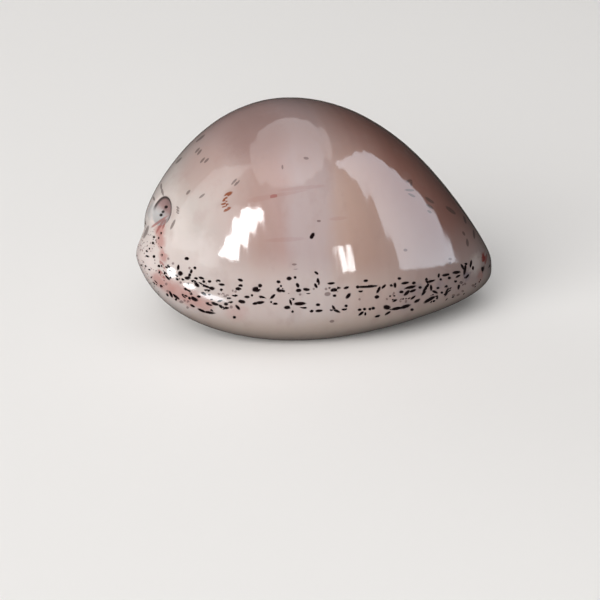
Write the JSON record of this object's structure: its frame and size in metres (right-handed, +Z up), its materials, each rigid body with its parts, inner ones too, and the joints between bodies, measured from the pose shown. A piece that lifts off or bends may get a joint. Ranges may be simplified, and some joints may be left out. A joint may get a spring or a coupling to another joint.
{
  "type": "cowrie shell",
  "caption": "Humped glossy cowrie shell, egg-shaped in plan, tapering to the front, with a narrow toothed aperture along its base and a spire sunk in a pit at the rear.",
  "frame": {"origin": "centre of the shell's box in plan, on the surface that the base rests on", "axes": "+X runs along the shell from the spire to the narrow front end, +Z is up from the base to the humped back, and the outer lip is on the -Y side"},
  "size_m": [0.071, 0.0442, 0.0437],
  "materials": {
    "glossy_shell": "naturally glossy shell, salmon tan over the back, cream on the base, with dark maroon spots along the margin"
  },
  "bodies": {
    "root": {"cowrie_shell": "glossy_shell"}
  },
  "joints": []
}
